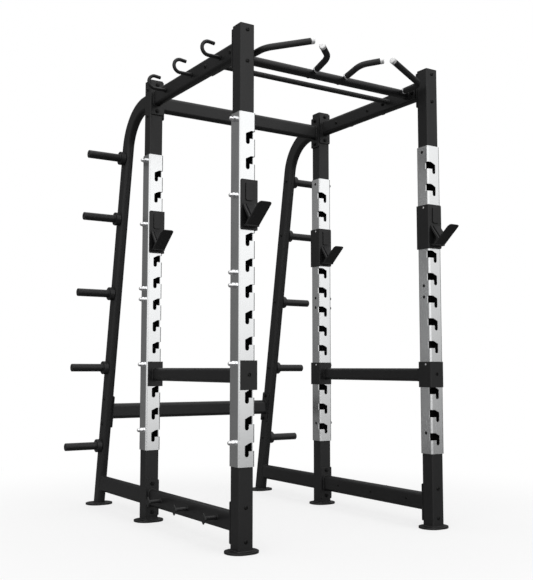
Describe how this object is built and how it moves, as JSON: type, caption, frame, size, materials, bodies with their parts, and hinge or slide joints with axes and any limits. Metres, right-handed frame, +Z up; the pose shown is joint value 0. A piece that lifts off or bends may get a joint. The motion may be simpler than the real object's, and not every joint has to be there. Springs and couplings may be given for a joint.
{
  "type": "power cage",
  "caption": "Bolted power cage: slotted uprights, lift-out bar catches and safeties, pull-up bars with angled handles, and leaning posts with weight pegs.",
  "frame": {"origin": "on the floor, at the centre of the whole object's outline", "axes": "+Z up; -Y is the open front, where the handles and bar catches face; +X is to the right when the front is seen from behind the rack, that is the side of the front_right upright"},
  "size_m": [1.628, 1.9155, 2.4],
  "materials": {
    "frame_black": "satin powder coat",
    "sleeve_silver": "satin plated",
    "handle_chrome": "polished",
    "grip_rubber": "matte",
    "cup_liner": "matte"
  },
  "bodies": {
    "frame": {"front_left_upright": "frame_black", "front_left_lower_sleeve": "sleeve_silver", "front_left_upper_sleeve": "sleeve_silver", "front_right_upright": "frame_black", "front_right_lower_sleeve": "sleeve_silver", "front_right_upper_sleeve": "sleeve_silver", "rear_left_upright": "frame_black", "rear_left_lower_sleeve": "sleeve_silver", "rear_left_upper_sleeve": "sleeve_silver", "rear_right_upright": "frame_black", "rear_right_lower_sleeve": "sleeve_silver", "rear_right_upper_sleeve": "sleeve_silver", "left_storage_post": "frame_black", "left_top_beam": "frame_black", "left_floor_rail": "frame_black", "left_rear_floor_rail": "frame_black", "left_weight_peg_1": "frame_black", "left_weight_peg_2": "frame_black", "left_weight_peg_3": "frame_black", "left_weight_peg_4": "frame_black", "left_weight_peg_5": "frame_black", "left_accessory_hook_1": "frame_black", "left_accessory_hook_2": "frame_black", "left_accessory_hook_3": "frame_black", "right_storage_post": "frame_black", "right_top_beam": "frame_black", "right_floor_rail": "frame_black", "right_rear_floor_rail": "frame_black", "right_weight_peg_1": "frame_black", "right_weight_peg_2": "frame_black", "right_weight_peg_3": "frame_black", "right_weight_peg_4": "frame_black", "right_weight_peg_5": "frame_black", "right_accessory_hook_1": "frame_black", "right_accessory_hook_2": "frame_black", "right_accessory_hook_3": "frame_black", "rear_top_beam": "frame_black", "rear_brace": "frame_black", "pull_up_bar": "frame_black", "knurled_bar": "frame_black", "inner_left_handle": "handle_chrome", "inner_left_grip": "grip_rubber", "inner_right_handle": "handle_chrome", "inner_right_grip": "grip_rubber", "outer_left_handle": "handle_chrome", "outer_left_grip": "grip_rubber", "outer_right_handle": "handle_chrome", "outer_right_grip": "grip_rubber"},
    "front_left_j_cup": {"front_left_j_cup": "frame_black", "front_left_j_cup_liner": "cup_liner"},
    "front_right_j_cup": {"front_right_j_cup": "frame_black", "front_right_j_cup_liner": "cup_liner"},
    "rear_left_j_cup": {"rear_left_j_cup": "frame_black", "rear_left_j_cup_liner": "cup_liner"},
    "rear_right_j_cup": {"rear_right_j_cup": "frame_black", "rear_right_j_cup_liner": "cup_liner"},
    "left_safety": {"left_safety_rail": "frame_black"},
    "right_safety": {"right_safety_rail": "frame_black"}
  },
  "joints": [
    {"name": "front_left_j_cup_lift", "type": "slide", "parent": "frame", "child": "front_left_j_cup", "axis": [0, 0, 1], "range_m": [0, 0.025]},
    {"name": "front_right_j_cup_lift", "type": "slide", "parent": "frame", "child": "front_right_j_cup", "axis": [0, 0, 1], "range_m": [0, 0.025]},
    {"name": "rear_left_j_cup_lift", "type": "slide", "parent": "frame", "child": "rear_left_j_cup", "axis": [0, 0, 1], "range_m": [0, 0.025]},
    {"name": "rear_right_j_cup_lift", "type": "slide", "parent": "frame", "child": "rear_right_j_cup", "axis": [0, 0, 1], "range_m": [0, 0.025]},
    {"name": "left_safety_lift", "type": "slide", "parent": "frame", "child": "left_safety", "axis": [0, 0, 1], "range_m": [0, 0.025]},
    {"name": "right_safety_lift", "type": "slide", "parent": "frame", "child": "right_safety", "axis": [0, 0, 1], "range_m": [0, 0.025]}
  ]
}
